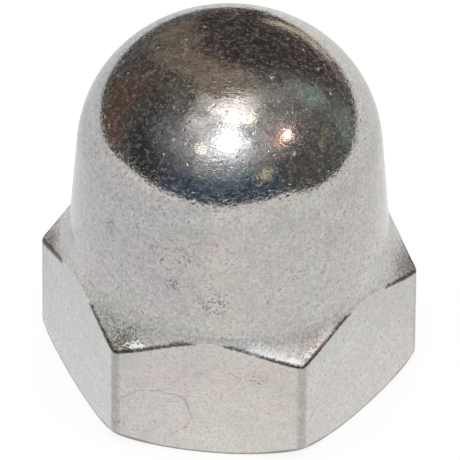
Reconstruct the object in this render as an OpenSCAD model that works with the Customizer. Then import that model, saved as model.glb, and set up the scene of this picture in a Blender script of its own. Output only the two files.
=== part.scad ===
// Cap nut in one piece: a hexagon that is chamfered at its seat, a tapered skirt that flares
// out over the hexagon's corners, a domed crown and a blind tapped hole. The seat lies on Z = 0.

/* [Hexagon] */
// Width across the flats, the spanner size
across_flats = 10; // [9.6:0.1:14]
// Height of the flats at the middle of each
flat_height = 4.35; // [3:0.05:5.5]
// Radius of the six upright edges
corner_round = 0.3; // [0.1:0.05:0.8]
// Slope of the chamfer under the hexagon's lower corners, in degrees from level
seat_chamfer_angle = 25; // [15:1:35]
// Distance from the rim of the seat out to the flats
seat_inset = 0.05; // [0.02:0.01:0.5]

/* [Crown] */
// Height from the seat to the top of the dome
total_height = 12; // [11:0.25:16]
// Width of the dome across its shoulder, where the shoulder's arc is widest
dome_d = 9.25; // [8.6:0.05:9.6]
// Radius of the dome over its top
crown_radius = 5.5; // [5:0.1:8]
// Radius of the dome at its shoulder
shoulder_radius = 4; // [3:0.1:4.2]
// Distance from the flats in to the skirt, where the flare is upright
skirt_inset = 0.15; // [0.1:0.05:0.5]
// Radius of the hollow round in which the skirt flares out over the corners
flare_radius = 1.3; // [1:0.1:2]
// Slope at which the flare runs straight on, in degrees from level
flare_end_angle = 25; // [15:1:35]

/* [Tapped hole] */
// Outside diameter of the screw
thread_d = 6; // [4:0.5:6.5]
// Rise of the thread in one turn
pitch = 1; // [0.5:0.25:1.25]
// Depth of the hole at its full width
bore_depth = 8.5; // [6:0.25:9]
// Angle of the drill's point at the blind end
drill_point_angle = 118; // [90:1:140]
// Width of the countersink at the seat
countersink_d = 6.6; // [6.5:0.1:8]
// Angle of the countersink, both sides together
countersink_angle = 90; // [60:5:120]

/* [Hidden] */
$fn = 96;

// Round bar that just holds the hexagon's corners, the length that a cut runs past a face,
// and the hair by which an arc crosses the straight that runs into it
bar_r = across_flats / 2 / cos(30);
past = 1;
hair = 0.0001;

// Flare: its round touches the skirt's inset and meets each flat at the flat's height
flare_centre = [
    across_flats / 2 - skirt_inset + flare_radius,
    flat_height + sqrt(pow(flare_radius, 2) - pow(flare_radius - skirt_inset, 2))
];
flare_end = flare_centre + flare_radius * heading(-90 - flare_end_angle);

// Outer edge of the turned shape, clear of the bar, and where the two slopes reach it
outer_r = max(bar_r, flare_end.x) + past;
outer_top_z = flare_end.y - (outer_r - flare_end.x) * tan(flare_end_angle);
seat_r = across_flats / 2 - seat_inset;
outer_seat_z = (outer_r - seat_r) * tan(seat_chamfer_angle);

// Dome: the top arc stands on the axis, and the shoulder arc lies inside it and touches it
top_centre = [0, total_height - crown_radius];
shoulder_x = dome_d / 2 - shoulder_radius;
shoulder_centre = [
    shoulder_x,
    top_centre.y + sqrt(pow(crown_radius - shoulder_radius, 2) - pow(shoulder_x, 2))
];
arc_meet_angle = atan2(shoulder_centre.y - top_centre.y, shoulder_centre.x);

// Skirt: the straight line that grazes the shoulder arc and the flare on opposite sides
to_flare = flare_centre - shoulder_centre;
draft_angle = atan2(to_flare.y, to_flare.x)
    + acos((shoulder_radius + flare_radius) / norm(to_flare));
skirt_top = shoulder_centre + shoulder_radius * heading(draft_angle);
skirt_foot = flare_centre - flare_radius * heading(draft_angle);

// Tapped hole: a screw's thread is cut from a hole one pitch narrower than the screw
bore_r = (thread_d - pitch) / 2;
countersink_slope = tan(countersink_angle / 2);
countersink_depth = (countersink_d / 2 - bore_r) / countersink_slope;
drill_point_z = bore_depth + bore_r / tan(drill_point_angle / 2);

// Unit step in a direction, in degrees from level
function heading(angle) = [cos(angle), sin(angle)];

// Section of the bar: flats that end where the corner rounds start
module rounded_hexagon() {
    round_centre = (across_flats / 2 - corner_round) / cos(30);
    corners = [for (turn = [0:60:300]) turn];
    polygon([
        for (turn = corners, side = [-30, 30])
            round_centre * heading(turn) + corner_round * heading(turn + side)
    ]);
    for (turn = corners)
        translate(round_centre * heading(turn))
            circle(r = corner_round + hair);
}

// Bar turned down to the skirt, cut off level at its top and hollowed by the flare
module turned_blank() {
    difference() {
        polygon([
            [0, 0],
            [seat_r, 0],
            [outer_r, outer_seat_z],
            [outer_r, outer_top_z],
            flare_end,
            skirt_foot,
            skirt_top,
            [0, skirt_top.y]
        ]);
        translate(flare_centre)
            circle(r = flare_radius + hair);
    }
}

// Shoulder of the dome: the whole arc, as far as the axis
module shoulder() {
    intersection() {
        translate(shoulder_centre)
            circle(r = shoulder_radius + hair);
        square([dome_d, total_height]);
    }
}

// Top of the dome: the slice of its round between the shoulder and the axis
module crown() {
    reach = 2 * crown_radius;
    translate(top_centre)
        intersection() {
            circle(r = crown_radius);
            polygon([
                [0, 0],
                reach * heading(arc_meet_angle),
                [0, reach]
            ]);
        }
}

// Countersink, tapping hole and drill point in one cut
module tapping_hole() {
    rotate_extrude()
        polygon([
            [0, -past],
            [countersink_d / 2 + past * countersink_slope, -past],
            [bore_r, countersink_depth],
            [bore_r, bore_depth],
            [0, drill_point_z]
        ]);
}

module cap_nut() {
    color("silver")
        difference() {
            intersection() {
                linear_extrude(height = total_height + past)
                    rounded_hexagon();
                rotate_extrude() {
                    turned_blank();
                    shoulder();
                    crown();
                }
            }
            tapping_hole();
        }
}

cap_nut();
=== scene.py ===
import math

import bpy
from mathutils import Matrix, Vector, noise


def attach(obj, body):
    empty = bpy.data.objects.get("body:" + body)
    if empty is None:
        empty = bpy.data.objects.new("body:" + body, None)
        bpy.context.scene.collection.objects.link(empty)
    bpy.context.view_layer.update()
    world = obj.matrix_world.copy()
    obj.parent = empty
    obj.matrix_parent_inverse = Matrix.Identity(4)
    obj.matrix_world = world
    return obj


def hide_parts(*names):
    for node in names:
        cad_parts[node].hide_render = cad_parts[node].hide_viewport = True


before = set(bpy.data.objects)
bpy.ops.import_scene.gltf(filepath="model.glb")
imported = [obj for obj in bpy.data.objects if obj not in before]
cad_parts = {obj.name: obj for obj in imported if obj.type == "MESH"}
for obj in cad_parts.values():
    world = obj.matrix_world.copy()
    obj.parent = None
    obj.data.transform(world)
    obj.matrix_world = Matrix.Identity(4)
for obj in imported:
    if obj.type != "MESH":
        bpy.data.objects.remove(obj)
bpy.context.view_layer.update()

millimetre = 0.001
micron = 0.000001


class Wire:
    # an output socket that can be used in sums, and adds its own Math nodes
    def __init__(self, board, socket):
        self.board = board
        self.socket = socket

    def mathNode(self, operation, first, second):
        return self.board.mathNode(operation, first, second)

    def __add__(self, other):
        return self.mathNode("ADD", self, other)

    def __radd__(self, other):
        return self.mathNode("ADD", other, self)

    def __sub__(self, other):
        return self.mathNode("SUBTRACT", self, other)

    def __rsub__(self, other):
        return self.mathNode("SUBTRACT", other, self)

    def __mul__(self, other):
        return self.mathNode("MULTIPLY", self, other)

    def __rmul__(self, other):
        return self.mathNode("MULTIPLY", other, self)

    def __truediv__(self, other):
        return self.mathNode("DIVIDE", self, other)

    def __rtruediv__(self, other):
        return self.mathNode("DIVIDE", other, self)

    def __pow__(self, other):
        return self.mathNode("POWER", self, other)

    def __rpow__(self, other):
        return self.mathNode("POWER", other, self)


class Board:
    # a node tree, wired from values, colours and other nodes' outputs
    def __init__(self, tree):
        self.tree = tree
        tree.nodes.clear()

    def add(self, kind, settings=None, inputs=None, output=None):
        node = self.tree.nodes.new(kind)
        for name, value in (settings or {}).items():
            if name == "stops":
                self.setStops(node.color_ramp, value)
            else:
                setattr(node, name, value)
        for name, value in (inputs or {}).items():
            self.feed(self.find(node.inputs, name), value)
        if not node.outputs:
            return None
        return Wire(self, self.find(node.outputs, output if output is not None else 0))

    def find(self, sockets, name):
        live = [s for s in sockets if s.enabled]
        if isinstance(name, int):
            return live[name]
        return next(s for s in live if s.name == name)

    def feed(self, socket, value):
        if isinstance(value, Wire):
            self.tree.links.new(value.socket, socket)
        elif isinstance(value, (tuple, list)) and socket.type == "RGBA" and len(value) == 3:
            socket.default_value = (*value, 1)
        else:
            socket.default_value = value

    def setStops(self, ramp, stops):
        while len(ramp.elements) < len(stops):
            ramp.elements.new(0.5)
        for element, (place, shade) in zip(ramp.elements, stops):
            element.position = place
            colour = shade if isinstance(shade, tuple) else (shade, shade, shade)
            element.color = (*colour, 1)

    def mathNode(self, operation, *values):
        return self.add("ShaderNodeMath", {"operation": operation}, dict(enumerate(values)))

    def atLeast(self, first, second):
        return self.mathNode("MAXIMUM", first, second)

    def absolute(self, value):
        return self.mathNode("ABSOLUTE", value)

    def between(self, value, low, high):
        # 0 at low and beyond it, 1 at high and beyond it, smooth from one to the other
        return self.add("ShaderNodeMapRange", {"interpolation_type": "SMOOTHSTEP"},
                        {"Value": value, "From Min": low, "From Max": high, "To Min": 0.0, "To Max": 1.0})

    def axes(self, vector):
        return [self.add("ShaderNodeSeparateXYZ", None, {"Vector": vector}, output=axis) for axis in "XYZ"]

    def distance(self, first, second):
        return self.add("ShaderNodeVectorMath", {"operation": "DISTANCE"}, {0: first, 1: second},
                        output="Value")

    def cloud(self, where, scale, detail=2.0, rough=0.5, distort=0.0):
        return self.add("ShaderNodeTexNoise", None,
                        {"Vector": where, "Scale": scale, "Detail": detail, "Roughness": rough,
                         "Distortion": distort}, output="Fac")

    def cells(self, where, scale, output="Distance"):
        return self.add("ShaderNodeTexVoronoi", {"feature": "F1"}, {"Vector": where, "Scale": scale},
                        output=output)

    def grey(self, value):
        return self.add("ShaderNodeCombineColor", None, {"Red": value, "Green": value, "Blue": value})

    def mixColours(self, amount, first, second, blend="MIX"):
        return self.add("ShaderNodeMix", {"data_type": "RGBA", "blend_type": blend},
                        {"Factor": amount, "A": first, "B": second})

    def tinted(self, colour, tint):
        return self.mixColours(1.0, colour, tint, "MULTIPLY")

    def rays(self):
        # whether a ray comes from the camera, off a mirror and through clear glass
        return [self.add("ShaderNodeLightPath", output=kind)
                for kind in ("Is Camera Ray", "Is Glossy Ray", "Is Transmission Ray")]


def newMaterial(name):
    material = bpy.data.materials.new(name)
    material.use_nodes = True
    return material, Board(material.node_tree)


def directionTo(azimuth, elevation):
    # from the nut: azimuth 0 is towards the viewer's side (-Y), 90 is +X
    a, e = math.radians(azimuth), math.radians(elevation)
    return Vector((math.sin(a) * math.cos(e), -math.cos(a) * math.cos(e), math.sin(e)))


photoView = {
    "azimuth": 6.94,       # degrees round the nut, from straight in front
    "elevation": 40.16,
    "distance": 421.3,     # mm from the aim point
    "focalPixels": 13917,  # focal length in pixels of a 460-pixel frame
    "framePixels": 460,
    "roll": 0.386,         # degrees
    "aimHeight": 5.5,      # mm up the axis, the point that is seen at aimPixel
    "aimPixel": (229.38, 208.69),
    "sensorWidth": 36,     # mm
    "clip": (0.01, 5),     # m
}


def makeCamera(v):
    back = directionTo(v["azimuth"], v["elevation"])
    roll = Matrix.Rotation(math.radians(v["roll"]), 4, "Z")
    turn = (-back).to_track_quat("-Z", "Y").to_matrix().to_4x4() @ roll
    right, up = turn.col[0].to_3d(), turn.col[1].to_3d()
    scale = v["distance"] / v["focalPixels"]   # mm on the nut for one pixel
    half = v["framePixels"] / 2
    aim = Vector((0, 0, v["aimHeight"]))
    aim += right * (half - v["aimPixel"][0]) * scale - up * (half - v["aimPixel"][1]) * scale
    data = bpy.data.cameras.new("photoCamera")
    data.sensor_width = v["sensorWidth"]
    data.lens = v["focalPixels"] / v["framePixels"] * data.sensor_width
    data.clip_start, data.clip_end = v["clip"]
    camera = bpy.data.objects.new("photoCamera", data)
    bpy.context.collection.objects.link(camera)
    camera.matrix_world = Matrix.Translation((aim + back * v["distance"]) * millimetre) @ turn
    bpy.context.scene.camera = camera
    print("camera placed")


makeCamera(photoView)


# in mm and degrees
nutSizes = {
    "acrossFlats": 10,
    "flatHeight": 4.35,
    "cornerRound": 0.3,
    "seatChamfer": 25,
    "seatInset": 0.05,
    "height": 12,
    "domeWidth": 9.25,
    "crownRadius": 5.5,
    "shoulderRadius": 4,
    "skirtInset": 0.15,
    "flareRadius": 1.3,
    "flareEnd": 25,
    "boreRadius": 2.5,
    "boreDepth": 8.5,
    "drillPoint": 118,
    "countersinkWidth": 6.6,
    "countersink": 90,
    "countersinkLead": 0.3,    # length of its slope that the softened mouth may use
    "drillCorner": [(0, -0.03), (-0.02, 0.01)],   # soft corner over the hole's full width: out and up
    "drillRings": (0.6, 0.2),  # places of the cone's rings, as shares of the hole's radius
    # edges softened by tumbling
    "rimSoftness": 0.05,
    "seatEdgeSoftness": 0.04,
    "seatCornerSoftness": 0.38,
    "topEdgeSoftness": 0.07,
    "topCornerSoftness": 0.16,
    "mouthSoftness": 0.06,
    "wear": 0.012,
    "wearScale": 1.7,
    # fineness of the mesh
    "flatColumns": 24,
    "cornerColumns": 8,
    "mouthRows": 4,
    "seatRows": 5,
    "rimRows": 3,
    "chamferRows": 2,
    "edgeRows": 6,
    "flatRows": 12,
    "flareRows": 16,
    "skirtRows": 12,
    "shoulderRows": 40,
    "crownRows": 15,
}

threadSizes = {
    "outsideRadius": 3.0,
    "pitch": 1.0,
    "depth": 7.9,          # where the last faint turn ends
    "runOut": 1.8,         # length over which the turns fade at the blind end
    "crestFlat": 0.2,      # share of a turn left flat at the hole's wall
    "rootFlat": 0.14,
    "plainEnd": 0.3,       # plain wall between the thread's sheet and the drill's point
    "rowsInTurn": 16,
}


def heading(angle):
    return Vector((math.cos(angle), math.sin(angle)))


def cornerCentre(s):
    # distance from the axis to the centre of a rounded corner
    return (s["acrossFlats"] / 2 - s["cornerRound"]) / math.cos(math.pi / 6)


def columnAngles(s):
    # angles round the axis, close together over the six rounded corners
    corner = cornerCentre(s)
    edge = Vector((corner, 0)) + s["cornerRound"] * heading(math.pi / 6)
    span = math.atan2(edge.y, edge.x)
    angles = []
    for k in range(6):
        middle = k * math.pi / 3
        for i in range(s["cornerColumns"]):
            angles.append(middle - span + 2 * span * i / s["cornerColumns"])
        start, room = middle + span, math.pi / 3 - 2 * span
        for i in range(s["flatColumns"]):
            angles.append(start + room * i / s["flatColumns"])
    return angles, span


def hexagonReach(angle, s, span):
    # distance from the axis to the hexagon's side, and the way that side faces
    corner = cornerCentre(s)
    k = round(angle / (math.pi / 3))
    off = angle - k * math.pi / 3
    if abs(off) < span:
        sweep = math.asin(corner * math.sin(off) / s["cornerRound"])
        reach = corner * math.cos(off) + s["cornerRound"] * math.cos(sweep)
        side = k * math.pi / 3 + off + sweep
    else:
        side = k * math.pi / 3 + math.copysign(math.pi / 6, off)
        reach = s["acrossFlats"] / 2 / math.cos(angle - side)
    return reach, side


def softenCorner(before, point, after, radius, steps):
    # points and outward directions of an arc that replaces a corner of the outline
    one, two = (before - point), (after - point)
    room = 0.48 * min(one.length, two.length)   # under half, so that two arcs can share a side
    one.normalize()
    two.normalize()
    half = math.acos(max(-1, min(1, one.dot(two)))) / 2
    cut = min(radius / math.tan(half), room)
    radius = cut * math.tan(half)
    centre = point + (one + two).normalized() * (radius / math.sin(half))
    first, last = point + one * cut - centre, point + two * cut - centre
    sweep = first.angle_signed(last)
    out = []
    for i in range(steps + 1):
        turn = -sweep * i / steps
        c, n = math.cos(turn), math.sin(turn)
        arm = Vector((first.x * c - first.y * n, first.x * n + first.y * c))
        out.append((centre + arm, arm.normalized()))
    return out


def straight(start, end, steps):
    along = (end - start).normalized()
    facing = Vector((along.y, -along.x))
    return [(start.lerp(end, (i + 1) / (steps + 1)), facing) for i in range(steps)]


def arc(centre, radius, start, end, steps):
    # points and outward directions from one angle up to, but not at, another
    ways = [heading(start + (end - start) * i / steps) for i in range(steps)]
    return [(centre + radius * n, n) for n in ways]


def flareCentre(s):
    # centre of the hollow round in which the skirt runs out over the corners
    drop = math.sqrt(s["flareRadius"] ** 2 - (s["flareRadius"] - s["skirtInset"]) ** 2)
    return s["acrossFlats"] / 2 - s["skirtInset"] + s["flareRadius"], s["flatHeight"] + drop


def crownLine(s):
    # the dome's two arcs, the flare over the corners, and the skirt that touches both
    top = Vector((0, s["height"] - s["crownRadius"]))
    across = s["domeWidth"] / 2 - s["shoulderRadius"]
    rise = math.sqrt((s["crownRadius"] - s["shoulderRadius"]) ** 2 - across ** 2)
    shoulder = Vector((across, top.y + rise))
    meet = math.atan2(shoulder.y - top.y, shoulder.x)
    flare = Vector(flareCentre(s))
    to = flare - shoulder
    draft = math.atan2(to.y, to.x) + math.acos((s["shoulderRadius"] + s["flareRadius"]) / to.length)
    return top, shoulder, meet, flare, draft


def flarePoint(x, s, flare):
    # height and slope of the flare at a distance from the axis
    end = math.radians(-90 - s["flareEnd"])
    endPoint = flare + s["flareRadius"] * heading(end)
    if x >= endPoint.x:
        slope = math.radians(s["flareEnd"])
        return endPoint.y - (x - endPoint.x) * math.tan(slope), slope
    drop = math.sqrt(s["flareRadius"] ** 2 - (flare.x - x) ** 2)
    return flare.y - drop, math.asin((flare.x - x) / s["flareRadius"])


def flareRows(begin, s, flare, draft):
    # the flare, in even steps of its turn; every column has one row more, for its straight end
    radius, steps = s["flareRadius"], s["flareRows"]
    endAngle = math.radians(-90 - s["flareEnd"])
    endX = flare.x + radius * math.cos(endAngle)
    if begin > endX:
        rows = [(Vector((endX, flarePoint(endX, s, flare)[0])), -heading(endAngle))]
        startAngle = endAngle
    else:
        startAngle = -math.pi + math.acos((flare.x - begin) / radius)
        middle = startAngle + (draft - math.pi - startAngle) / (2 * steps)
        rows = [(flare + radius * heading(middle), -heading(middle))]
    for i in range(1, steps + 1):
        n = heading(startAngle + (draft - math.pi - startAngle) * i / steps)
        rows.append((flare + radius * n, -n))
    return rows


def outsideColumn(reach, s, crown):
    # outline from the countersink's mouth over the hexagon to the dome's top:
    # (point, facing, how much it belongs to a flat: 0 turned, 1 flat)
    top, shoulder, meet, flare, draft = crown
    half = s["acrossFlats"] / 2
    seat = half - s["seatInset"]
    mouth = Vector((s["countersinkWidth"] / 2, 0))
    lead = s["countersinkLead"]
    inner = mouth + Vector((-lead, lead / math.tan(math.radians(s["countersink"] / 2))))
    rim = Vector((seat, 0))
    low = Vector((reach, (reach - seat) * math.tan(math.radians(s["seatChamfer"]))))
    topHeight, slope = flarePoint(reach, s, flare)
    high = Vector((reach, topHeight))
    inward = high + Vector((-math.cos(slope), math.sin(slope)))
    foot = flare - s["flareRadius"] * heading(draft)
    graze = shoulder + s["shoulderRadius"] * heading(draft)
    rows = []

    def take(points, belongs=0.0):
        rows.extend((p, n, belongs) for p, n in points)

    mouthArc = softenCorner(inner, mouth, rim, s["mouthSoftness"], s["mouthRows"])
    rimArc = softenCorner(mouth, rim, low, s["rimSoftness"], s["rimRows"])
    # the edges grow softer towards the hexagon's corners, the lower one only near their tips
    toCorner = (reach - half) / (cornerCentre(s) + s["cornerRound"] - half)
    lowGrowth = s["seatCornerSoftness"] - s["seatEdgeSoftness"]
    lowSoftness = s["seatEdgeSoftness"] + lowGrowth * toCorner ** 4
    lowArc = softenCorner(rim, low, high, lowSoftness, s["edgeRows"])
    highSoftness = s["topEdgeSoftness"] + (s["topCornerSoftness"] - s["topEdgeSoftness"]) * toCorner
    highArc = softenCorner(low, high, inward, highSoftness, s["edgeRows"])
    take(mouthArc)
    take(straight(mouthArc[-1][0], rimArc[0][0], s["seatRows"]))
    take(rimArc)
    take(straight(rimArc[-1][0], lowArc[0][0], s["chamferRows"]))
    rows.extend((p, n, i / (len(lowArc) - 1)) for i, (p, n) in enumerate(lowArc))
    take(straight(lowArc[-1][0], highArc[0][0], s["flatRows"]), 1.0)
    rows.extend((p, n, 1 - i / (len(highArc) - 1)) for i, (p, n) in enumerate(highArc))
    take(flareRows(highArc[-1][0].x, s, flare, draft))
    take(straight(foot, graze, s["skirtRows"]))
    take(arc(shoulder, s["shoulderRadius"], draft, meet, s["shoulderRows"]))
    take(arc(top, s["crownRadius"], meet, math.pi / 2, s["crownRows"]))
    return rows


def threadRadius(turns, depth, s, t):
    # radius of the tapped hole's wall at a depth, where turns counts pitches up the helix
    phase = turns - math.floor(turns)
    flank = (1 - t["crestFlat"] - t["rootFlat"]) / 2
    if phase < t["rootFlat"]:
        cut = 1.0
    elif phase < t["rootFlat"] + flank:
        cut = 1 - (phase - t["rootFlat"]) / flank
    elif phase < t["rootFlat"] + flank + t["crestFlat"]:
        cut = 0.0
    else:
        cut = (phase - 1 + flank) / flank
    fade = max(0.0, min(1.0, (t["depth"] - depth) / t["runOut"]))
    cutRadius = s["boreRadius"] + (t["outsideRadius"] - s["boreRadius"]) * cut * fade
    cone = s["countersinkWidth"] / 2 - depth * math.tan(math.radians(s["countersink"] / 2))
    return max(cutRadius, cone)


def worn(place, s):
    # the turned and tumbled edges wander by a few microns, in broad and in fine waves
    p = place * s["wearScale"]
    return s["wear"] * (0.6 * noise.noise(p) + 0.4 * noise.noise(p * 3.1 + Vector((7, 3, 5))))


class Shell:
    # points and faces of one mesh; points in the same small step of a grid are one
    stepsInMillimetre = 20000

    def __init__(self):
        self.points, self.facings, self.faces = [], [], []
        self.known = {}

    def vertex(self, place, facing):
        key = tuple(round(value * self.stepsInMillimetre) for value in place)
        if key not in self.known:
            self.known[key] = len(self.points)
            self.points.append(place * millimetre)
            self.facings.append(facing)
        return self.known[key]

    def face(self, *corners):
        ring = [c for i, c in enumerate(corners) if c != corners[i - 1]]
        if len(set(ring)) >= 3:
            self.faces.append(ring)


def roundAxis(radius, angle, height):
    return Vector((radius * math.cos(angle), radius * math.sin(angle), height))


def withNext(items):
    # pairs of each item and the next one round
    return zip(items, items[1:] + items[:1])


def makeOutside(shell, angles, span, s):
    # column by column; returns each column's points, from the countersink's mouth up
    crown = crownLine(s)
    outside = []
    for angle in angles:
        reach, side = hexagonReach(angle, s, span)
        line = []
        for point, facing, belongs in outsideColumn(reach, s, crown):
            place = roundAxis(point.x, angle, point.y)
            normal = roundAxis(facing.x, angle + (side - angle) * belongs, facing.y).normalized()
            if 0 < belongs < 1:
                place -= normal * abs(worn(place, s))
            line.append(shell.vertex(place, normal))
        outside.append(line)
    apex = shell.vertex(Vector((0, 0, s["height"])), Vector((0, 0, 1)))
    for one, two in withNext(outside):
        for i in range(len(one) - 1):
            shell.face(one[i], two[i], two[i + 1], one[i + 1])
        shell.face(one[-1], two[-1], apex)
    return outside


def makeThread(shell, angles, mouth, s, t):
    # a sheet wound up the helix, cut off level at the mouth and at the blind end; returns its last ring
    rowsInTurn = t["rowsInTurn"]
    end = s["boreDepth"] - t["plainEnd"]
    turns = math.ceil(end / t["pitch"]) + 2
    rows = turns * rowsInTurn + 1
    sheet = []
    for angle, lip in zip(angles, mouth):
        share = (angle - angles[0]) / (2 * math.pi)
        start = (shell.points[lip] / millimetre).z
        line = []
        for i in range(rows):
            climb = i / rowsInTurn - 1
            z = t["pitch"] * (share + climb)
            if z <= start:
                line.append(lip)
                continue
            z = min(z, end)
            wall = threadRadius(climb, z, s, t) if z < end else s["boreRadius"]
            line.append(shell.vertex(roundAxis(wall, angle, z), Vector()))
        sheet.append(line)
    nextTurn = [sheet[0][min(i + rowsInTurn, rows - 1)] for i in range(rows)]
    for one, two in zip(sheet, sheet[1:] + [nextTurn]):
        for i in range(rows - 1):
            shell.face(one[i], one[i + 1], two[i + 1], two[i])
    return [line[-1] for line in sheet]


def makeBlindEnd(shell, angles, last, s):
    # plain wall, then the cone of the drill's point
    slope = math.tan(math.radians(s["drillPoint"] / 2))
    tip = s["boreDepth"] + s["boreRadius"] / slope
    rings = [(s["boreRadius"] + inwards, s["boreDepth"] + up) for inwards, up in s["drillCorner"]]
    for share in s["drillRings"]:
        wall = s["boreRadius"] * share
        rings.append((wall, tip - wall / slope))
    for wall, z in rings:
        ring = [shell.vertex(roundAxis(wall, angle, z), Vector()) for angle in angles]
        for (low, high), (nextLow, nextHigh) in withNext(list(zip(last, ring))):
            shell.face(low, high, nextHigh, nextLow)
        last = ring
    point = shell.vertex(Vector((0, 0, tip)), Vector())
    for low, nextLow in withNext(last):
        shell.face(low, point, nextLow)


def makeNut(s, t):
    angles, span = columnAngles(s)
    shell = Shell()
    outside = makeOutside(shell, angles, span, s)
    wall = makeThread(shell, angles, [line[0] for line in outside], s, t)
    makeBlindEnd(shell, angles, wall, s)
    mesh = bpy.data.meshes.new("capNut")
    mesh.from_pydata(shell.points, [], shell.faces)
    mesh.validate(clean_customdata=False)
    mesh.shade_smooth()
    mesh.normals_split_custom_set_from_vertices(shell.facings)
    mesh.update()
    nut = bpy.data.objects.new("capNutTurned", mesh)
    bpy.context.collection.objects.link(nut)
    print("nut made:", len(shell.points), "points,", len(shell.faces), "faces")
    return nut


nut = makeNut(nutSizes, threadSizes)


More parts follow.
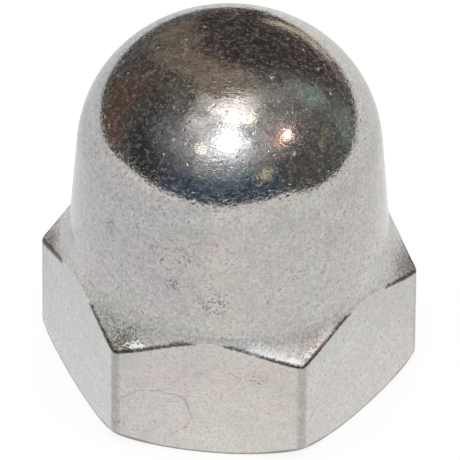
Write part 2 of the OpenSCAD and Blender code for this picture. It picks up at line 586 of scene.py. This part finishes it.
# plating, worn and a little grimy: lengths in mm, heights in microns, and clouds by their scale,
# detail, roughness and distortion; a pair says where a mask is 0 and where it is 1
platingLook = {
    "silver": (0.62, 0.59, 0.565),
    "warmTint": (1.015, 0.985, 0.985),
    "greenTint": (0.985, 1.0, 0.985),
    "tintClouds": (0.75, 1.0, 0.5, 0.6),
    "tintSplit": (0.42, 0.58),
    "paintedRimShadow": (0.09, 0.08, 0.075),
    "brownEdgeReflection": (0.09, 0.072, 0.068),
    "blueEdgeReflection": (0.07, 0.078, 0.095),
    "roughness": 0.09,
    "hazeRoughness": 0.5,
    "hazeClouds": (7.0, 3.0, 0.8),
    "haze": (0.5, 0.72),
    "hazeHeight": (9.8, 10.8),     # it is strongest on the dome's top
    "hazeBelow": 0.3,
    "dullClouds": (6.5, 3.0, 0.75),
    "dull": (0.47, 0.75),
    "dullness": 0.22,
    "dustScale": 1.7,
    "dust": (0.11, 0.06),
    "dustHeight": (9.5, 10.0),
    "dustiness": 0.6,
    # height of the surface: orange peel, grain, scratches, pits and dents
    "peelHeight": 2.0,
    "peelClouds": (5.0, 3.0, 0.55),
    "grainHeight": 2.7,
    "grainClouds": (10.0, 1.0, 0.4),
    "scratchHeight": 1.0,
    "scratchRidge": (0.66, 0.72),
    # turn of each set of scratches, in radians, and how far each axis is squeezed
    "scratchSets": [((0.3, 0.2, 0.4), (3.0, 14, 14)), ((1.1, 0.5, 1.9), (4.0, 17, 17)),
                    ((0.4, 1.3, 1.2), (2.5, 16, 16)), ((1.9, 0.9, 0.6), (5.0, 13, 13))],
    "pitHeight": 6.0,
    "pitScale": 4.5,
    "pit": (0.2, 0.1),
    "pitChance": (0.72, 0.78),
    "dentHeight": 7.0,
    "dentScale": 2.2,
    "dent": (0.17, 0.03),
    "crookedClouds": (9.0, 1.0),   # they bend the outlines of dents and dust
    "crookedness": 0.12,
    # grain in the colour, and how much each thing darkens the silver
    "speckleClouds": (11.0, 3.0, 0.7),
    "blotchClouds": (4.5, 2.0),
    "mottleClouds": (0.9, 3.0, 0.6),
    "fleckClouds": (15.0, 3.0, 0.7),
    "spotClouds": (12.0, 2.0, 0.6),
    "specks": (0.41, 0.33),        # dark specks, where spots and mottle meet
    "speckPatches": (0.38, 0.6),
    "cornerEdge": (0.12, 0.045),   # painted shade on the rounded upright corners, from this far in from a sharp corner
    "wanderScale": 1.5,
    "wander": 0.5,
    "speckleShade": 1.25,
    "blotchShade": 0.35,
    "mottleShade": 0.3,
    "speckShade": 0.4,
    "pitShade": 0.25,
    "smudgeShade": 0.46,
    "paintedCornerEdgeShade": 0.24,
    "ringShade": 0.24,
    # calmer grain on the flats, and on the skirt between these x
    "flatEdge": 0.1,
    "flatCalm": 0.35,
    "calmFrom": (-1.2, 1.2),
    "calmTo": (3.8, 2.8),
    "rightCalm": 0.2,
    # the flare is left satin by the turning tool
    "satin": (0.76, 0.735, 0.705),
    "satinMetallic": 0.5,
    "satinRoughness": 0.4,
    "satinGrain": 1.6,
    "satinLightness": (0.86, 0.16),   # least, and how much more further out
    "satinOuter": (4.95, 5.15),
    "corners": (5.15, 5.6),        # distance from the axis
    "flareStart": 4.93,            # distance from the axis at which the satin starts
    "flareStartSides": 0.1,        # how much nearer round the sides
    "sides": (-3.5, -2.0),         # y
    "flareSoftness": 0.04,
    "flareTop": (0.6, 0.1),        # over the centre of its round
    "flareLine": (-0.05, -0.005),
    # painted dark reflection along the edge between a flat and the flare: its width, how much wider at the
    # corners and at one of them, and how ragged; first down the flat, then in over the flare
    "edgeLineDown": (0.065, 0.02, 0.04, 0.1),
    "edgeLineOver": (0.04, 0.04, 0.015, 0.14),
    "edgeLineClouds": (7.0, 3.0, 0.7),
    "edgeLineSoftness": 0.03,
    "leftCorner": (-2.9, -3.2),    # x
    "rightCorner": (2.9, 3.1),
    "thinnerFrom": (0.6, 1.2),
    "edgeLineThinner": 0.01,           # on the right
    "thinnerOver": 0.75,           # share of that over the flare
    "edgeLineTop": (4.6, 4.5),         # height over the seat
    # distance from the axis at which it starts, and how much further on the right half, at the left
    # corner and round the sides, each with its x or y
    "edgeLineStart": 5.007,
    "startRight": ((-0.2, 0.2), 0.005),
    "startLeft": ((-3.0, -3.6), 0.08),
    "startSides": ((-3.0, -2.0), 0.12),
    "startRagged": 0.08,
    "startFade": 0.02,
    "edgeLineFlecks": (0.7, 0.56),
    "edgeLineStrength": 0.945,
    "edgeLineBehind": 0.45,            # how much weaker on the far side
    "behind": (0.3, 1.5),          # y
    "blueFrom": (0.3, 1.0),        # x between which the painted edge reflection is blue
    "blueTo": (2.9, 2.6),
    "rimHeight": (0.1, 0.03),      # painted shadow along the chamfer's rim, where the rounded edge mirrors the shaded paper under it
    "rimLift": 0.07,               # higher at the corners, whose tips are rounded off
    "rimStrength": 0.6,
    # shade that deepens towards some corners of the flare: place, radius, strength and colour
    "cornerShade": [
        ((-2.75, -4.75, 3.9), 1.1, 0.2, (0.42, 0.42, 0.32)),
        ((-5.5, -0.3, 3.8), 0.7, 0.5, (0.36, 0.33, 0.26)),
        ((-5.1, -1.1, 3.9), 0.6, 0.4, (0.36, 0.33, 0.26)),
        ((5.7, 0, 3.7), 1.5, 0.6, (0.40, 0.33, 0.30)),
    ],
    # painted dark reflection, in flecks at the corners, closer together near the middle of each place
    "paintedFleckCloseness": 0.12,
    "paintedFleckRange": (0.44, 0.36),
    "paintedFleckFade": (0.0, 0.15),
    # its places: place, radius, strength and colour
    "paintedCornerFlecks": [
        ((-2.65, -4.7, 3.9), 0.8, 0.85, (0.13, 0.13, 0.085)),
        ((-3.1, -3.9, 4.05), 1.0, 0.4, (0.20, 0.20, 0.20)),
        ((-1.9, -4.7, 4.2), 0.8, 0.3, (0.20, 0.20, 0.20)),
        ((3.1, -4.5, 3.95), 0.9, 0.5, (0.35, 0.27, 0.26)),
        ((-5.5, -0.4, 3.8), 0.7, 0.6, (0.14, 0.13, 0.09)),
        ((5.6, 0, 3.8), 1.1, 0.6, (0.22, 0.16, 0.15)),
    ],
    # painted glints: bright highlight flecks beside the painted dark flecks
    "litFromEdge": (0.3, 0.1),     # distance in from the flats
    "litFlecks": (0.56, 0.61),
    "litFade": (0.0, 0.1),
    # their places: place, radius, how closely they lie, how white they are and their colour
    "glints": [
        ((-2.2, -4.87, 3.92), 0.3, 0.19, 0.8, (1.0, 1.0, 0.97)),
        ((-2.52, -4.72, 3.93), 0.2, 0.13, 0.5, (1.0, 1.0, 0.92)),
        ((1.7, -4.97, 4.03), 0.75, 0.13, 0.1, (0.98, 0.99, 1.0)),
        ((2.5, -4.84, 3.85), 0.5, 0.13, 0.3, (1.0, 1.0, 0.97)),
        ((2.56, -4.93, 3.84), 0.28, 0.35, 0.9, (1.0, 1.0, 0.96)),
        ((3.05, -4.5, 3.9), 0.3, 0.13, 0.6, (1.0, 0.97, 0.93)),
        ((3.4, -4.0, 4.05), 0.6, 0.13, 0.15, (1.0, 0.88, 0.86)),
    ],
    # soft tints in the plating: place, radius and tint
    "blushes": [
        ((-1.6, -4.4, 6.3), 1.5, (1.02, 0.975, 0.985)),
        ((-1.8, -5, 2.9), 0.7, (1.02, 0.975, 0.985)),
        ((-2.6, -5, 1.4), 0.5, (1.02, 0.985, 0.965)),
    ],
    # handling marks: the share of the radius that is full, their grain, and each place, radius and
    # strength
    "smudgeCore": 0.3,
    "smudgeSpots": (0.53, 0.41),
    "smudges": [
        ((-3.19, -3.42, 7.29), 0.32, 1.0),
        ((-1.13, -4.62, 6.24), 0.36, 1.0),
        ((0.17, -4.79, 5.74), 0.75, 0.6),
        ((-1.7, -4.4, 7.3), 0.5, 0.4),
        ((-0.77, -4.6, 7.4), 0.5, 0.35),
        ((1.51, -5.0, 3.1), 0.4, 0.8),
        ((0.97, -5.0, 3.12), 0.3, 0.5),
        ((-0.3, -5.0, 3.1), 0.25, 0.4),
        ((-2.7, -5.0, 0.9), 0.35, 0.5),
    ],
    # oval scratch on the front flat: centre x and z, half width and half height
    "ring": (-1.62, 1.45, 1.08, 0.9),
    "ringThickness": 0.0035,
    "ringOpening": (-0.9, 0.1),    # it fades out at its lower left
    "ringClouds": (4.0, 3.0, 0.7),
    "ringGaps": (0.36, 0.52),
    "frontFlat": (-4.9, -4.99),    # y
}


class NutPlaces:
    # where a point of the nut lies, in mm, and the grain that its looks share, as sockets
    def __init__(self, board, look, s):
        self.board = board
        cloud = board.cloud
        stored = board.add("ShaderNodeTexCoord", output="Object")
        self.mm = board.add("ShaderNodeVectorMath", {"operation": "SCALE"},
                            {"Vector": stored, "Scale": 1 / millimetre})
        self.x, self.y, self.z = board.axes(self.mm)
        self.radius = (self.x * self.x + self.y * self.y) ** 0.5
        self.half = s["acrossFlats"] / 2
        self.sharpCorner = self.half / math.cos(math.pi / 6)
        self.nearCorner = board.between(self.radius, *look["corners"])
        slant = math.pi / 6
        side = board.absolute(self.x * math.cos(slant)) + board.absolute(self.y) * math.sin(slant)
        self.fromEdge = self.half - board.atLeast(board.absolute(self.y), side)

        # height of the flare at this distance from the axis, and where its satin shows
        centreX, centreZ = flareCentre(s)
        across = centreX - self.radius
        # nearer the axis than the skirt there is no flare, and the least value keeps the root real
        drop = board.atLeast(s["flareRadius"] ** 2 - across * across, 0.01) ** 0.5
        self.flareLine = centreZ - drop
        start = look["flareStart"] - board.between(self.y, *look["sides"]) * look["flareStartSides"]
        fade = look["flareSoftness"]
        top, full = look["flareTop"]
        self.inFlare = (board.between(self.z - self.flareLine, *look["flareLine"])
                        * board.between(self.radius, start - fade, start + fade)
                        * board.between(self.z, centreZ + top, centreZ + full))
        self.onFlat = (board.between(self.radius, self.half - look["flatEdge"], self.half)
                       * (1 - self.inFlare))

        self.speckle = cloud(self.mm, *look["speckleClouds"])
        self.wander = cloud(self.mm, look["wanderScale"]) * look["wander"] - look["wander"] / 2
        self.mottle = cloud(self.mm, *look["mottleClouds"])
        self.flecks = cloud(self.mm, *look["fleckClouds"])
        self.spots = cloud(self.mm, *look["spotClouds"])
        bent = board.grey(cloud(self.mm, *look["crookedClouds"]) * look["crookedness"])
        self.crooked = board.add("ShaderNodeVectorMath", {"operation": "ADD"}, {0: self.mm, 1: bent})
        chance = board.add("ShaderNodeSeparateColor", None,
                           {"Color": board.cells(self.mm, look["pitScale"], "Color")}, output="Red")
        self.pits = (board.between(board.cells(self.mm, look["pitScale"]), *look["pit"])
                     * board.between(chance, *look["pitChance"]))

    def awayFrom(self, centre):
        return self.board.distance(self.mm, centre)


def paintedEdgeReflection(board, look, p):
    # painted dark reflection that straddles the edge between a flat and the flare
    between, x, y, z = board.between, p.x, p.y, p.z
    ragged = board.cloud(p.mm, *look["edgeLineClouds"]) - 0.5
    thinner = between(x, *look["thinnerFrom"]) * look["edgeLineThinner"]
    atLeft, atRight = between(x, *look["leftCorner"]), between(x, *look["rightCorner"])
    width, corners, left, uneven = look["edgeLineDown"]
    below = width + p.nearCorner * corners + atLeft * left - thinner + ragged * uneven
    width, corners, right, uneven = look["edgeLineOver"]
    above = (width + p.nearCorner * corners + atRight * right - thinner * look["thinnerOver"]
             + ragged * uneven)

    def further(name, value):
        window, shift = look[name]
        return between(value, *window) * shift

    start = (look["edgeLineStart"] + further("startRight", x)
             + board.atLeast(further("startLeft", x), further("startSides", y)))
    soft = look["edgeLineSoftness"]
    paintedDark = (between(z - p.flareLine + below, -soft, soft) * between(p.fromEdge, above + soft, above - soft)
            * between(z, *look["edgeLineTop"])
            * between(p.radius - start + ragged * look["startRagged"], 0.0, look["startFade"]))
    strength = look["edgeLineStrength"] - between(y, *look["behind"]) * look["edgeLineBehind"]
    return paintedDark * between(p.flecks, *look["edgeLineFlecks"]) * strength


def platingBump(board, look, p):
    peel = board.cloud(p.mm, *look["peelClouds"])
    grain = board.cloud(p.mm, *look["grainClouds"])
    scratches = 0.0
    for turn, squeeze in look["scratchSets"]:
        lines = board.add("ShaderNodeMapping", {"vector_type": "POINT"},
                          {"Vector": p.mm, "Rotation": turn, "Scale": squeeze})
        scratches = scratches + board.between(board.cloud(lines, 1.0, 1.0), *look["scratchRidge"])
    dents = board.between(board.cells(p.crooked, look["dentScale"]), *look["dent"])
    height = (peel * look["peelHeight"] + grain * look["grainHeight"] - scratches * look["scratchHeight"]
              - p.pits * look["pitHeight"] - dents * look["dentHeight"])
    return board.add("ShaderNodeBump", None, {"Strength": 1.0, "Distance": micron, "Height": height},
                     output="Normal")


def handlingMarks(board, look, p):
    marks = 0.0
    for centre, size, strength in look["smudges"]:
        marks = marks + board.between(p.awayFrom(centre), size, size * look["smudgeCore"]) * strength
    return marks * board.between(p.spots, *look["smudgeSpots"])


def ovalScratch(board, look, p):
    # a thin wandering oval with an opening and gaps
    between = board.between
    centreX, centreZ, halfWidth, halfHeight = look["ring"]
    u, v = (p.x - centreX) / halfWidth, (p.z - centreZ) / halfHeight
    off = (u * u + v * v) ** 0.5 + p.wander - 1
    line = (between(off * off, look["ringThickness"], 0.0) * between(p.y, *look["frontFlat"])
            * between(u * 0.7 + v, *look["ringOpening"]))
    return line * between(board.cloud(p.mm, *look["ringClouds"]), *look["ringGaps"])


def silverColour(board, look, p, s):
    between = board.between
    tint = board.mixColours(between(board.cloud(p.mm, *look["tintClouds"]), *look["tintSplit"]),
                            look["warmTint"], look["greenTint"])
    for centre, size, blush in look["blushes"]:
        tint = board.mixColours(between(p.awayFrom(centre) + p.wander, size, size * 0.5), tint, blush)
    onRight = (1 - p.onFlat) * between(p.x, *look["calmFrom"]) * between(p.x, *look["calmTo"])
    calm = 1 - p.onFlat * look["flatCalm"] - onRight * look["rightCalm"]
    blotches = board.cloud(p.mm, *look["blotchClouds"])
    specks = between(p.spots, *look["specks"]) * between(p.mottle, *look["speckPatches"])
    # painted shade on the rounded upright corners, which mirror darker
    start, full = look["cornerEdge"]
    cornerEdge = between(p.radius, p.sharpCorner - start, p.sharpCorner - full)
    shade = (1.0 + (p.speckle - 0.5) * look["speckleShade"] * calm
             + (blotches - 0.5) * look["blotchShade"] * calm
             + (p.mottle - 0.5) * look["mottleShade"] - specks * look["speckShade"]
             - p.pits * look["pitShade"] - handlingMarks(board, look, p) * look["smudgeShade"]
             - cornerEdge * look["paintedCornerEdgeShade"] - ovalScratch(board, look, p) * look["ringShade"])
    silver = board.tinted(board.tinted(look["silver"], tint), board.grey(shade))

    # painted shadow along the rim of the chamfer under the flats, where the rounded edge mirrors the shaded
    # paper under it
    chamfer = (p.radius - p.half + s["seatInset"]) * math.tan(math.radians(s["seatChamfer"]))
    rim = between(p.z - chamfer - p.nearCorner * look["rimLift"], *look["rimHeight"])
    return board.mixColours(rim * look["rimStrength"], silver, look["paintedRimShadow"])


def satinColour(board, look, p):
    # the flare with its painted shade, painted dark reflection and painted glints; also returns how white
    # the glints are
    between = board.between
    least, more = look["satinLightness"]
    lightness = least + between(p.radius, *look["satinOuter"]) * more
    lightness = lightness * (1 + (p.speckle - 0.5) * look["satinGrain"])
    satin = board.tinted(look["satin"], board.grey(lightness))
    for centre, size, strength, paintedDark in look["cornerShade"]:
        apart = p.awayFrom(centre) + (p.flecks - 0.5) * size
        satin = board.mixColours(between(apart, size, 0.0) * strength, satin, paintedDark)
    # painted dark reflection in flecks at the corners of the flare
    for centre, size, strength, paintedDark in look["paintedCornerFlecks"]:
        spread = between(p.awayFrom(centre), size, size * 0.1)
        darkFlecks = (between(p.flecks - spread * look["paintedFleckCloseness"], *look["paintedFleckRange"])
                  * between(spread, *look["paintedFleckFade"]))
        satin = board.mixColours(darkFlecks * strength, satin, paintedDark)
    white = 0.0
    for centre, size, closeness, whiteness, bright in look["glints"]:
        spread = between(p.awayFrom(centre), size, size * 0.5) * between(p.fromEdge, *look["litFromEdge"])
        lit = between(p.flecks + spread * closeness, *look["litFlecks"]) * between(spread, *look["litFade"])
        satin = board.mixColours(lit, satin, bright)
        white = board.atLeast(white, lit * whiteness)
    return satin, white


def makePlating(look, s):
    material, board = newMaterial("polishedPlating")
    between = board.between
    p = NutPlaces(board, look, s)
    satin, white = satinColour(board, look, p)
    colour = board.mixColours(p.inFlare, silverColour(board, look, p, s), satin)
    # painted dark reflection along the flats' top edges, brown, and blue on part of the right
    blueSide = between(p.x, *look["blueFrom"]) * between(p.x, *look["blueTo"])
    paintedDark = board.mixColours(blueSide, look["brownEdgeReflection"], look["blueEdgeReflection"])
    colour = board.mixColours(paintedEdgeReflection(board, look, p), colour, paintedDark)

    haze = (between(board.cloud(p.mm, *look["hazeClouds"]), *look["haze"])
            * (between(p.z, *look["hazeHeight"]) * (1 - look["hazeBelow"]) + look["hazeBelow"]))
    roughness = look["roughness"] + haze * (look["hazeRoughness"] - look["roughness"])
    roughness = roughness + p.inFlare * (look["satinRoughness"] - roughness)
    dust = (between(board.cells(p.crooked, look["dustScale"]), *look["dust"])
            * between(p.z, *look["dustHeight"]))
    dull = between(board.cloud(p.mm, *look["dullClouds"]), *look["dull"]) * look["dullness"]
    dull = board.atLeast(dull, dust * look["dustiness"])
    # the painted glints also lose their metal, so that they shine white
    metallic = 1 - board.atLeast(p.inFlare * (1 - look["satinMetallic"] * (1 - white)), dull)
    shader = board.add("ShaderNodeBsdfPrincipled", None,
                       {"Base Color": colour, "Metallic": metallic, "Roughness": roughness,
                        "Normal": platingBump(board, look, p)})
    board.add("ShaderNodeOutputMaterial", None, {"Surface": shader})
    print("plating ready")
    return material


nut.data.materials.append(makePlating(platingLook, nutSizes))
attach(nut, "root")
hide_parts("cap_nut")


# white paper under the nut, in mm, and how it looks in the metal: its brightness by distance from the
# axis, as shares of mirroredReach, and its tint from the left (0) to the right (1)
studio = {
    "paperHalfWidth": 90.0,
    "paperFront": 300.0,
    "paperBack": 46.0,
    "paperShade": (0.93, 0.93, 0.93),
    "paperGlow": 1.07,         # light that the camera sees from it
    "glowShare": 0.8,          # the rest is plain paper, which holds the shadow
    "mirroredShare": 0.85,
    "mirroredReach": 40.0,
    "mirroredSteps": [(0.125, 1.10), (0.2, 0.99), (0.3, 0.87), (0.5, 0.80), (1.0, 0.9)],
    "mirroredSides": [(0.0, (0.75, 0.80, 0.84)), (0.42, (0.86, 0.89, 0.91)), (0.5, (1.0, 0.985, 0.97)),
                      (0.6, (0.93, 0.95, 0.94)), (1.0, (0.9, 0.92, 0.9))],
}


def makeFloor(look):
    x, front, back = look["paperHalfWidth"], look["paperFront"], look["paperBack"]
    mesh = bpy.data.meshes.new("paperFloor")
    corners = [(-x, -front, 0), (x, -front, 0), (x, back, 0), (-x, back, 0)]
    mesh.from_pydata([Vector(c) * millimetre for c in corners], [], [(0, 1, 2, 3)])
    floor = bpy.data.objects.new("paperFloor", mesh)
    bpy.context.collection.objects.link(floor)
    material, board = newMaterial("whitePaper")
    add = board.add
    cameraRay, glossyRay, clearRay = board.rays()
    place = add("ShaderNodeTexCoord", output="Object")
    farthest = look["mirroredReach"] * millimetre
    away = add("ShaderNodeVectorMath", {"operation": "LENGTH"}, {"Vector": place}, output="Value")
    glow = add("ShaderNodeValToRGB", {"stops": look["mirroredSteps"]}, {"Fac": away / farthest},
               output="Color")
    sideways = board.axes(place)[0]
    tint = add("ShaderNodeValToRGB", {"stops": look["mirroredSides"]}, {"Fac": sideways / farthest + 0.5},
               output="Color")
    seen = board.atLeast(cameraRay, clearRay)
    plain = add("ShaderNodeBsdfDiffuse", None, {"Color": look["paperShade"]})
    bright = add("ShaderNodeEmission", None, {"Color": (1, 1, 1), "Strength": look["paperGlow"]})
    lit = add("ShaderNodeEmission", None, {"Color": board.tinted(glow, tint), "Strength": 1.0})
    forEye = add("ShaderNodeMixShader", None, {0: seen * look["glowShare"], 1: plain, 2: bright})
    both = add("ShaderNodeMixShader", None, {0: glossyRay * look["mirroredShare"], 1: forEye, 2: lit})
    add("ShaderNodeOutputMaterial", None, {"Surface": both})
    mesh.materials.append(material)
    print("floor laid")


makeFloor(studio)


# what the dome mirrors: azimuth, elevation, half width and half height in degrees, softness, colour
room = {
    "dark": (0.085, 0.083, 0.08),
    "clouds": 0.6,                 # roughness of all its clouds
    "raggedClouds": (6.0, 4.0),
    "ragged": 24,                  # degrees over which the patches' edges wander
    "clutterClouds": (9.0, 5.0),
    "clutter": (0.2, 1.6),         # least brightness, and how much the clouds add
    "glitterClouds": (30.0, 3.0),
    "glitter": (-1.75, 5.5, 0.15),   # offset, how much the clouds add, and the least
    "fill": 0.85,                  # light on matt surfaces
    "patches": [
        (-147, 50, 16, 27, 0.6, (0.235, 0.192, 0.152)),    # brown furniture, left and behind
        (-156, 20, 9, 17, 0.5, (0.180, 0.150, 0.120)),
        (-122, 30, 13, 34, 0.4, (0.085, 0.070, 0.055)),
        (-104, 14, 20, 20, 0.4, (0.115, 0.075, 0.055)),
        (-95, 40, 16, 24, 0.5, (0.060, 0.058, 0.054)),
        (-110, 60, 20, 11, 0.5, (0.115, 0.110, 0.100)),
        (178, 71, 70, 10, 0.3, (0.255, 0.210, 0.166)),
        (170, 20, 30, 32, 0.3, (0.055, 0.044, 0.042)),
        (178, 44, 27, 17, 0.3, (0.050, 0.040, 0.038)),
        (-52, 32, 36, 36, 0.3, (0.032, 0.040, 0.046)),
        (5, 14, 48, 26, 0.6, (0.051, 0.077, 0.121)),
        (0, 33, 24, 12, 0.9, (0.147, 0.239, 0.303)),       # below the window
        (92, 52, 44, 28, 0.6, (0.170, 0.155, 0.147)),
        (80, 14, 30, 20, 0.6, (0.095, 0.093, 0.091)),
        (130, 50, 10, 10, 0.8, (0.23, 0.225, 0.215)),
        (120, 37, 9, 11, 1.2, (0.24, 0.335, 0.315)),       # greenish hangings
        (117, 8, 11, 13, 1.2, (0.175, 0.215, 0.20)),
        (150, 6, 7, 6, 0.6, (0.18, 0.135, 0.15)),
        (164, 6, 14, 4, 0.5, (0.62, 0.55, 0.43)),
        (94, 20, 9, 4, 0.8, (0.24, 0.21, 0.16)),
        (-18, 57, 52, 29, 1.2, (0.33, 0.34, 0.35)),
        (-36, 66, 28, 9, 0.9, (1.05, 1.05, 1.05)),
        (-92, 75, 24, 6, 1.0, (0.60, 0.60, 0.58)),
        (118, 75, 24, 6, 1.0, (0.65, 0.64, 0.61)),
        (124, 66, 14, 8, 1.0, (0.36, 0.35, 0.34)),
        (40, 74, 44, 8, 0.9, (0.80, 0.78, 0.75)),
        (46, 62, 46, 22, 1.2, (0.38, 0.37, 0.36)),
        (4, 59, 44, 24, 1.2, (0.55, 0.57, 0.60)),
        (4, 58, 27, 16, 1.1, (1.1, 1.17, 1.28)),
        (0, 91, 400, 8.5, 0.35, (1.00, 0.98, 0.92)),       # pale ceiling
        (15, 84, 125, 8.5, 0.8, (1.6, 1.58, 1.52)),
        (-4, 84, 40, 4, 0.8, (2.6, 2.55, 2.45)),
        (5, 58, 13, 8.5, 0.7, (5.0, 5.1, 5.2)),            # window
        (18, 80, 26, 7, 0.6, (3.0, 2.9, 2.75)),
        (50, 75, 24, 5.5, 0.7, (2.2, 2.1, 1.95)),
        (28, 57, 4.5, 4, 0.7, (1.5, 1.5, 1.6)),
        (-22, 47, 6, 4.5, 0.7, (2.2, 2.15, 1.95)),
        (66, 46, 16, 6, 0.8, (0.50, 0.33, 0.25)),
        (70.5, 44, 4.8, 3.8, 0.6, (4.0, 3.2, 2.8)),        # warm lamp
        (57, 43, 3.5, 2.8, 0.6, (1.2, 0.8, 0.62)),
        (36.5, 25, 6, 4.5, 0.6, (0.60, 0.56, 0.42)),
    ],
    # where the white paper ends, as the sine of its elevation, by azimuth from -180 to 180
    "paperEdge": [(0.0, -0.17), (0.05, -0.19), (0.12, -0.15), (0.2, -0.11), (0.25, -0.055), (0.31, 0.038),
                  (0.42, 0.03), (0.5, 0.01), (0.58, 0.07), (0.64, 0.065), (0.68, -0.05), (0.74, -0.10),
                  (0.81, -0.10), (0.85, -0.06), (0.91, -0.02), (0.95, 0.02), (0.97, -0.01), (1.0, -0.11)],
    "paperEdgeRange": (-0.2, 0.2),
    "paperEdgeSoftness": 0.012,
    "paperShade": (0.88, 0.87, 0.85),
}


def makeWorld(look):
    world = bpy.data.worlds.new("studioRoom")
    bpy.context.scene.world = world
    world.use_nodes = True
    board = Board(world.node_tree)
    add, between = board.add, board.between
    towards = add("ShaderNodeTexCoord", output="Generated")
    x, y, z = board.axes(towards)

    def cloud(name):
        return board.cloud(towards, *look[name], look["clouds"])

    degrees = 180 / math.pi
    azimuth = board.mathNode("ARCTAN2", x, 0 - y) * degrees
    elevation = board.mathNode("ARCSINE", z) * degrees
    ragged = cloud("raggedClouds") * look["ragged"] - look["ragged"] / 2
    least, added = look["clutter"]
    offset, contrast, dimmest = look["glitter"]
    glitter = board.atLeast(cloud("glitterClouds") * contrast + offset, dimmest)
    clutter = (least + cloud("clutterClouds") * added) * glitter
    seen = look["dark"]
    for around, above, wide, high, soft, shade in look["patches"]:
        apart = board.mathNode("WRAP", azimuth - around + ragged, 180.0, -180.0) / wide
        over = (elevation - above + ragged * 0.5) / high
        amount = between((apart * apart + over * over) ** 0.5, 1 + soft / 2, 1 - soft / 2)
        seen = board.mixColours(amount, seen, shade)
    seen = board.tinted(seen, board.grey(clutter))

    # the white paper below, up to its edge
    low, high = look["paperEdgeRange"]
    stops = [(at, (edge - low) / (high - low)) for at, edge in look["paperEdge"]]
    edge = add("ShaderNodeValToRGB", {"stops": stops}, {"Fac": azimuth / 360 + 0.5}, output="Color")
    line = edge * (high - low) + low
    soft = look["paperEdgeSoftness"]
    sky = board.mixColours(between(z - line, -soft, soft), look["paperShade"], seen)
    cameraRay, glossyRay, clearRay = board.rays()
    fill = add("ShaderNodeBackground", None, {"Color": (1, 1, 1), "Strength": look["fill"]})
    mirrored = add("ShaderNodeBackground", None, {"Color": sky, "Strength": 1.0})
    white = add("ShaderNodeBackground", None, {"Color": (1, 1, 1), "Strength": 1.0})
    one = add("ShaderNodeMixShader", None, {0: glossyRay, 1: fill, 2: mirrored})
    two = add("ShaderNodeMixShader", None, {0: board.atLeast(cameraRay, clearRay), 1: one, 2: white})
    add("ShaderNodeOutputWorld", None, {"Surface": two})
    print("room ready")


makeWorld(room)


softbox = {
    "azimuth": 4,
    "elevation": 57,
    "distance": 600,       # mm from the aim point
    "size": 130,
    "power": 0.45,         # W
    "aimHeight": 6,        # mm up the axis
}


def makeLamp(look):
    data = bpy.data.lights.new("softbox", "AREA")
    data.shape = "DISK"
    data.size = look["size"] * millimetre
    data.energy = look["power"]
    lamp = bpy.data.objects.new("softbox", data)
    bpy.context.collection.objects.link(lamp)
    direction = directionTo(look["azimuth"], look["elevation"])
    lamp.location = (Vector((0, 0, look["aimHeight"])) + direction * look["distance"]) * millimetre
    lamp.visible_glossy = False   # the metal mirrors the window that the room paints
    lamp.rotation_mode = "QUATERNION"
    lamp.rotation_quaternion = direction.to_track_quat("Z", "Y")
    print("lamp hung")


makeLamp(softbox)

bpy.context.scene.view_settings.view_transform = "Standard"
